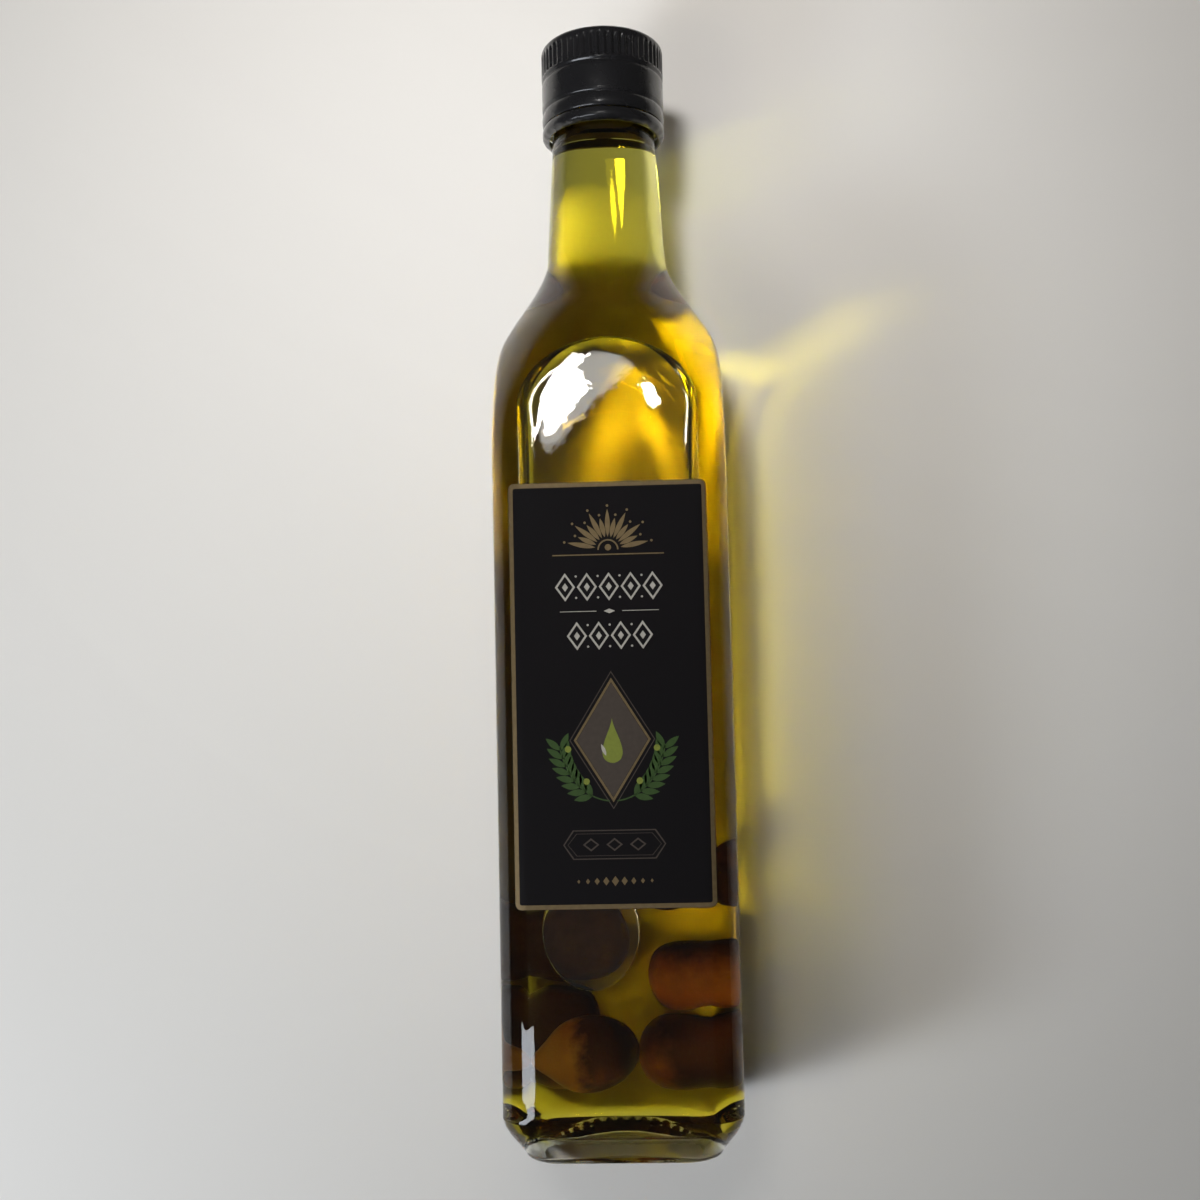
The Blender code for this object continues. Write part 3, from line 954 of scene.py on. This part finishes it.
def wrappedPoint(along, lift):
    # a place on the paper, over the flat front and round its two corners
    flat = bodyHalf - bottleForm["cornerRadius"]
    bend = bottleForm["cornerRadius"] + lift
    turn = np.maximum(np.abs(along) - flat, 0.0) / bend
    x = np.minimum(np.abs(along), flat) + bend * np.sin(turn)
    return np.copysign(x, along), -(flat + bend * np.cos(turn))


def sheetSolid(grid, low, high, wrap, centred):
    # closed thin solid over a grid of (along, up) places: rows of columns, wrapped round or open
    rows, columns = grid.shape[:2]
    points, faces = [], []
    for lift in (high, low):
        x, y = wrappedPoint(grid[..., 0] + labelForm["shift"], lift)
        points.append(np.stack([x, y, grid[..., 1] + labelForm["foot"]], axis=-1).reshape(-1, 3))
    under = rows * columns
    spans = columns if wrap else columns - 1
    for r in range(rows - 1):
        for c in range(spans):
            d = (c + 1) % columns
            a, b = r * columns, (r + 1) * columns
            faces.append((a + c, a + d, b + d, b + c))
            faces.append((under + a + d, under + a + c, under + b + c, under + b + d))
    for r in (0,) if centred else (0, rows - 1):
        for c in range(spans):
            d = (c + 1) % columns
            a = r * columns
            faces.append((a + d, a + c, under + a + c, under + a + d))
    if not wrap:
        for c in (0, columns - 1):
            for r in range(rows - 1):
                a, b = r * columns + c, (r + 1) * columns + c
                faces.append((a, b, under + b, under + a))
    return np.concatenate(points), faces


class Ink:
    # one colour of print, gathered into one piece and drawn in mm from the middle of the label's foot
    def __init__(self, colour):
        self.colour = colour
        self.points = []
        self.faces = []
        self.count = 0

    def add(self, grid, wrap=False, centred=False, layer=0):
        low = labelForm["thickness"] - labelForm["inkSink"]
        high = labelForm["thickness"] + labelForm["inkRise"] * (1 + layer)
        points, faces = sheetSolid(np.array(grid) * mm, low, high, wrap, centred)
        self.points.append(points)
        self.faces += [tuple(i + self.count for i in face) for face in faces]
        self.count += len(points)

    def blob(self, outline, layer=0):
        outline = np.array(outline)
        self.add([outline, np.broadcast_to(outline.mean(axis=0), outline.shape)], True, True, layer)

    def ring(self, outline, inner, layer=0, steps=1):
        outline, inner = np.array(outline), np.array(inner)
        self.add([outline + (inner - outline) * i / steps for i in range(steps + 1)], True, False, layer)

    def stroke(self, path, width, layer=0):
        path = np.array(path)
        ways = np.gradient(path, axis=0)
        ways /= np.linalg.norm(ways, axis=1, keepdims=True)
        aside = np.stack([-ways[:, 1], ways[:, 0]], axis=1) * width / 2
        self.add([path + aside, path - aside], False, False, layer)

    def finish(self):
        piece = addMesh(f"label_{self.colour}_print", np.concatenate(self.points), self.faces)
        piece.data.shade_flat()
        piece.data.materials.append(inkMaterial(self.colour))
        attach(piece, body)
        print(self.colour, "print made,", len(piece.data.polygons), "faces")


def inkMaterial(colour):
    metallic, roughness = labelLook["foil"] if colour == "gold" else labelLook["matt"]
    finish = {"Metallic": metallic, "Roughness": roughness, "Specular IOR Level": 0.4}
    material, nodes, links, shader = newMaterial(f"{colour}Ink", **finish)
    grain = addNoise(nodes, links, Scale=900.0, Detail=4.0)
    shade = addTint(nodes, links, shader, labelLook[colour], 1.0)
    addRange(nodes, links, grain.outputs["Fac"], 0.72, 1.15, shade)
    return material


def paperMaterial():
    material, nodes, links, shader = newMaterial("blackPaper", **{"Specular IOR Level": 0.12})
    fibre = addNoise(nodes, links, Scale=1400.0, Detail=6.0, Roughness=0.7)
    cloud = addNoise(nodes, links, Scale=70.0, Detail=3.0)
    links.new(fibre.outputs["Color"], addTint(nodes, links, shader, labelLook["paper"], 0.35))
    addRange(nodes, links, cloud.outputs["Fac"], 0.42, 0.62, shader.inputs["Roughness"])
    addBump(nodes, links, shader, fibre.outputs["Fac"], 0.3, 0.03 * mm)
    return material


def roundedOutline(halfWidth, low, high, corner, steps=8, spans=48):
    # closed outline of a rectangle with rounded corners, with many places along its level sides
    path = []
    corners = [(1, low, -0.5), (1, high, 0.0), (-1, high, 0.5), (-1, low, 1.0)]
    for side, height, start in corners:
        inward = 1 if height == low else -1
        centre = np.array([side * (halfWidth - corner), height + inward * corner])
        for i in range(steps + 1):
            turn = math.pi * (start + 0.5 * i / steps)
            path.append(centre + corner * np.array([math.cos(turn), math.sin(turn)]))
        if start in (0.0, 1.0):
            first, last = path[-1], np.array([-side * (halfWidth - corner), height])
            path += [first + (last - first) * i / spans for i in range(1, spans)]
    return np.array(path)


def paperRows():
    form = labelForm
    rows, corner = [], form["corner"]
    for low in np.linspace(0, 1, form["cornerRows"]):
        inset = corner * (1 - math.sin(low * math.pi / 2))
        rows.append((corner * (1 - math.cos(low * math.pi / 2)), form["width"] / 2 - inset))
    rows += [(form["height"] - height, half) for height, half in rows[::-1]]
    shares = np.linspace(-1, 1, form["columns"])
    return np.array([[(share * half, height) for share in shares] for height, half in rows])


def makePaper():
    form = labelForm
    points, faces = sheetSolid(paperRows(), -form["sink"], form["thickness"], False, False)
    piece = addMesh("label_paper", points, faces)
    piece.data.set_sharp_from_angle(angle=math.radians(35))
    piece.data.materials.append(paperMaterial())
    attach(piece, body)
    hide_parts("front_label")
    print("label paper made,", len(piece.data.polygons), "faces")


def lozenge(x, y, halfWidth, halfHeight):
    return [(x + halfWidth, y), (x, y + halfHeight), (x - halfWidth, y), (x, y - halfHeight)]


def leafOutline(x, y, length, width, turn, steps=9):
    # pointed leaf from its stem at x, y
    along, aside = np.array([math.cos(turn), math.sin(turn)]), np.array([-math.sin(turn), math.cos(turn)])
    start, points = np.array([x, y]), []
    for side, order in ((1, range(steps + 1)), (-1, range(steps - 1, 0, -1))):
        for i in order:
            share = i / steps
            swell = math.sin(math.pi * share) ** 0.85 * width / 2 * (1.15 - 0.3 * share)
            points.append(start + along * length * share + aside * swell * side)
    return points


def circle(x, y, radius, steps):
    turns = [2 * math.pi * i / steps for i in range(steps)]
    return [(x + radius * math.cos(turn), y + radius * math.sin(turn)) for turn in turns]


def drop(x, y, radius, height, steps=40):
    points = []
    for i in range(steps):
        turn = 2 * math.pi * i / steps
        swell = math.sin(turn / 2) ** 2.2
        rise = height * (0.5 + 0.5 * math.cos(turn)) - radius
        points.append((x + radius * math.sin(turn) * swell, y + rise))
    return points


# artwork in mm: a drop is measured down from the label's top, other heights up from its foot
borderForm = {"cut": 0.05, "width": 1.1, "innerCorner": 0.35}
fanForm = {
    "drop": 16.0, "rays": 13, "margin": 0.06, "hub": 3.0, "reaches": (9.6, 7.6), "rayWidth": 1.15,
    "tipGap": 0.75, "tipRadius": 0.3, "arcRadius": 2.3, "arcWidth": 0.35, "arcSteps": 24,
    "dotRise": 0.55, "dotRadius": 0.75, "ruleHalf": 13.0, "ruleFall": 1.1, "ruleWidth": 0.28,
}
rowForm = {
    "drops": (24.6, 36.0), "counts": (5, 4), "pitch": 5.1, "outside": (2.35, 3.3), "inside": (1.8, 2.55),
    "core": (0.7, 1.0), "beadRise": 2.5, "beadRadius": 0.26, "ruleDrop": 30.3, "ruleSpan": (3.0, 11.5),
    "ruleWidth": 0.16, "ruleMark": (1.3, 0.55),
}
fieldForm = {
    "middle": 38.5, "panel": (8.2, 13.2), "goldRim": ((8.9, 14.3), (8.3, 13.3)),
    "taupeRim": ((9.9, 15.9), (9.65, 15.5)), "dropFall": 1.6, "dropSize": (3.7, 10.4),
    "glintPlace": (-1.5, -3.6), "glintSize": (2.9, 0.8), "glintTurn": 112.0,
}
sprayForm = {
    "reach": (12.348, 15.5), "rise": 1.5, "start": -86.0, "sweep": 76.0, "steps": 20, "stemWidth": 0.32,
    "leaves": 8, "leafSize": (4.4, 1.5), "leafLean": 38.0,
    "fruitsAt": (9, 18), "fruitShift": (1.5, 1.2), "fruitRadius": 0.75,
}
plaqueForm = {
    "middle": 14.6, "half": (9.3, 3.1), "point": 11.5, "pointGrowth": 1.3,
    "rims": ((0.25, 0.0), (-0.55, -0.65)),
    "marksAt": (-5.4, 0.0, 5.4), "markOutside": (1.9, 1.5), "markInside": (1.35, 1.05),
    "studsAt": 6.3, "studs": 4, "studPitch": 2.1, "studSize": 1.15, "studShrink": 0.17, "studWidth": 0.72,
}


def printBorder(gold):
    form = borderForm
    half, height, corner = labelForm["width"] / mm / 2, labelForm["height"] / mm, labelForm["corner"] / mm
    outside = roundedOutline(half - form["cut"], form["cut"], height - form["cut"], corner)
    low = form["width"]
    gold.ring(outside, roundedOutline(half - low, low, height - low, corner * form["innerCorner"]), steps=3)


def printFan(gold):
    # rising fan over a rule
    form = fanForm
    foot, hub, radius = labelForm["height"] / mm - form["drop"], form["hub"], form["arcRadius"]
    for i in range(form["rays"]):
        turn = math.pi * (form["margin"] + (1 - 2 * form["margin"]) * i / (form["rays"] - 1))
        across, up = math.cos(turn), math.sin(turn)
        reach = form["reaches"][i % 2]
        gold.blob(leafOutline(hub * across, foot + hub * up, reach - hub, form["rayWidth"], turn))
        tip = reach + form["tipGap"]
        gold.blob(circle(tip * across, foot + tip * up, form["tipRadius"], 12))
    turns = [math.pi * i / form["arcSteps"] for i in range(form["arcSteps"] + 1)]
    arc = [(radius * math.cos(turn), foot + radius * math.sin(turn)) for turn in turns]
    gold.stroke(arc, form["arcWidth"])
    gold.blob(circle(0, foot + form["dotRise"], form["dotRadius"], 20))
    rule, half = foot - form["ruleFall"], form["ruleHalf"]
    gold.stroke([(-half, rule), (half, rule)], form["ruleWidth"])


def printRows(cream):
    # two rows of open lozenges with a rule between them
    form, height = rowForm, labelForm["height"] / mm
    for drop, count in zip(form["drops"], form["counts"]):
        row = height - drop
        for i in range(count):
            x = (i - (count - 1) / 2) * form["pitch"]
            cream.ring(lozenge(x, row, *form["outside"]), lozenge(x, row, *form["inside"]))
            cream.blob(lozenge(x, row, *form["core"]))
        for i in range(count - 1):
            x = (i - (count - 2) / 2) * form["pitch"]
            for side in (-1, 1):
                cream.blob(circle(x, row + side * form["beadRise"], form["beadRadius"], 12))
    rule = height - form["ruleDrop"]
    start, end = form["ruleSpan"]
    for side in (-1, 1):
        cream.stroke([(side * start, rule), (side * end, rule)], form["ruleWidth"])
    cream.blob(lozenge(0, rule, *form["ruleMark"]))


def printField(inks):
    # tall field with a drop in it
    form, middle = fieldForm, fieldForm["middle"]
    inks["taupe"].blob(lozenge(0, middle, *form["panel"]))
    for colour in ("gold", "taupe"):
        outside, inside = form[colour + "Rim"]
        inks[colour].ring(lozenge(0, middle, *outside), lozenge(0, middle, *inside))
    inks["fruit"].blob(drop(0, middle - form["dropFall"], *form["dropSize"]), layer=1)
    x, rise = form["glintPlace"]
    glint = leafOutline(x, middle + rise, *form["glintSize"], math.radians(form["glintTurn"]))
    inks["cream"].blob(glint, layer=2)


def printSpray(inks, side):
    # leafy twig beside the field
    form = sprayForm
    across, up = form["reach"]
    low, stem = fieldForm["middle"] + form["rise"], []
    for i in range(form["steps"] + 1):
        turn = math.radians(form["start"] + form["sweep"] * i / form["steps"])
        stem.append((side * across * math.cos(turn), low + up * math.sin(turn)))
    inks["leaf"].stroke(stem, form["stemWidth"], layer=1)
    for i in range(1, form["leaves"] + 1):
        (oldX, oldY), (x, y) = stem[2 * i + 2], stem[2 * i + 3]
        way = math.atan2(y - oldY, x - oldX)
        for lean in (-1, 1):
            turn = way + lean * math.radians(form["leafLean"])
            inks["leaf"].blob(leafOutline(x, y, *form["leafSize"], turn), layer=1)
    inward, rise = form["fruitShift"]
    for i in form["fruitsAt"]:
        x, y = stem[i]
        inks["fruit"].blob(circle(x - side * inward, y + rise, form["fruitRadius"], 16), layer=2)


def plaqueOutline(grow):
    form, middle = plaqueForm, plaqueForm["middle"]
    x, y = (half + grow for half in form["half"])
    point = form["point"] + grow * form["pointGrowth"]
    upper = [(point, middle), (x, middle + y), (-x, middle + y)]
    return upper + [(-point, middle), (-x, middle - y), (x, middle - y)]


def printPlaque(inks):
    # long plaque with three lozenges, and a row of small ones under it
    form, middle = plaqueForm, plaqueForm["middle"]
    for outer, inner in form["rims"]:
        inks["taupe"].ring(plaqueOutline(outer), plaqueOutline(inner))
    for x in form["marksAt"]:
        outside, inside = (lozenge(x, middle, *form[size]) for size in ("markOutside", "markInside"))
        inks["taupe"].ring(outside, inside)
    for i in range(-form["studs"], form["studs"] + 1):
        size = form["studSize"] - form["studShrink"] * abs(i)
        inks["gold"].blob(lozenge(i * form["studPitch"], form["studsAt"], size * form["studWidth"], size))


def makePrint():
    inks = {colour: Ink(colour) for colour in ("gold", "cream", "leaf", "fruit", "taupe")}
    printBorder(inks["gold"])
    printFan(inks["gold"])
    printRows(inks["cream"])
    printField(inks)
    for side in (-1, 1):
        printSpray(inks, side)
    printPlaque(inks)
    for ink in inks.values():
        ink.finish()


# stage
floorLook = {
    "colour": (0.72, 0.71, 0.69, 1.0),
    "roughness": 0.36,
    "specular": 0.08,
    "size": 2.4,
    "gap": 0.1 * mm,
}
# lamps with mirrored off leave no reflection, and with throughGlass off they don't show through glass
plainLamp = {
    "aim": (0.0, 0.0, 0.0), "turn": 0.0, "spread": 180.0, "mirrored": False, "throughGlass": True,
}
lightSetup = {
    "ceiling": {
        **plainLamp, "place": (-0.119, 0.24, 0.62), "aim": (-0.01, 0.14, 0.0), "size": (0.11, 0.128),
        "turn": 44.0, "spread": 50.0, "power": 0.215, "colour": (1.0, 0.975, 0.96),
    },
    "ceilingGlow": {
        **plainLamp, "place": (-0.049, 0.17, 0.62), "aim": (0.0, 0.13, 0.0), "size": (0.04, 0.025),
        "turn": 44.0, "power": 0.125, "colour": (1.0, 0.99, 0.97), "mirrored": True,
    },
    "ceilingHaze": {
        **plainLamp, "place": (-0.046, 0.185, 0.62), "aim": (0.0, 0.13, 0.0), "size": (0.085, 0.06),
        "turn": 44.0, "power": 0.05, "colour": (1.0, 0.99, 0.97), "mirrored": True,
    },
    "window": {
        **plainLamp, "place": (-0.5, -0.28, 0.4), "size": (0.16, 0.14), "power": 1.95,
        "colour": (0.87, 0.92, 1.0),
    },
    "windowGlow": {
        **plainLamp, "place": (-0.37, -0.295, 0.51), "size": (0.46, 0.105), "turn": 15.3, "power": 1.28,
        "colour": (0.87, 0.92, 1.0), "mirrored": True, "throughGlass": False,
    },
    "side": {
        **plainLamp, "place": (-0.36, -0.18, 0.58), "size": (0.16, 0.14), "power": 0.58,
        "colour": (1.0, 0.9, 0.65),
    },
    "back": {
        **plainLamp, "place": (0.0, 0.55, 0.5), "size": (0.25, 0.16), "power": 0.5,
        "colour": (1.0, 0.84, 0.6), "throughGlass": False,
    },
    "overhead": {
        **plainLamp, "place": (0.0, 0.0, 1.6), "size": (1.8, 1.8), "power": 0.35,
        "colour": (1.0, 0.98, 0.96), "mirrored": True,
    },
    "spot": {
        **plainLamp, "place": (0.016, 0.39, 1.6), "aim": (0.0, 0.05, 0.05), "size": (0.02, 0.032),
        "turn": 20.0, "power": 0.12, "colour": (1.0, 0.96, 0.9), "mirrored": True,
    },
}
roomLook = {"colour": (1.0, 0.98, 0.96, 1.0), "strength": 0.05}  # seen in mirrors and through glass only


def addLamp(name):
    values = lightSetup[name]
    lamp = bpy.data.lights.new(name, "AREA")
    lamp.shape = "RECTANGLE"
    lamp.size, lamp.size_y = values["size"]
    lamp.energy = values["power"]
    lamp.color = values["colour"]
    lamp.spread = math.radians(values["spread"])
    holder = bpy.data.objects.new(name, lamp)
    holder.location = values["place"]
    holder.visible_glossy = values["mirrored"]
    holder.visible_transmission = values["throughGlass"]
    way = (Vector(values["place"]) - Vector(values["aim"])).normalized()
    turn = math.radians(values["turn"])
    level = Vector((math.cos(turn), math.sin(turn), 0.0))
    level = (level - way * level.dot(way)).normalized()
    holder.rotation_euler = Matrix((level, way.cross(level), way)).transposed().to_euler()
    bpy.context.scene.collection.objects.link(holder)


def makeFloor():
    bpy.ops.mesh.primitive_plane_add(size=floorLook["size"], location=(0, 0, cadLow.z - floorLook["gap"]))
    floor = bpy.context.object
    floor.name = "floor"
    finish = {"Base Color": floorLook["colour"], "Roughness": floorLook["roughness"]}
    finish["Specular IOR Level"] = floorLook["specular"]
    floor.data.materials.append(newMaterial("paleTable", **finish)[0])


def makeRoom():
    world = bpy.data.worlds.new("softRoom")
    bpy.context.scene.world = world
    world.use_nodes = True
    background = world.node_tree.nodes["Background"]
    background.inputs["Color"].default_value = roomLook["colour"]
    background.inputs["Strength"].default_value = roomLook["strength"]
    world.cycles_visibility.diffuse = False


def makeStage():
    makeFloor()
    makeRoom()
    for name in lightSetup:
        addLamp(name)
    scene = bpy.context.scene
    scene.view_settings.view_transform = "Standard"
    scene.cycles.max_bounces = 32
    scene.cycles.transmission_bounces = 32
    scene.cycles.blur_glossy = 0.0
    scene.cycles.sample_clamp_indirect = 0.0
    print("stage set")


makeCamera()
makeStage()
makeGlass()
makeOil()
makeBubble()
makeOlives()
makeCap()
makeBand()
makePaper()
makePrint()
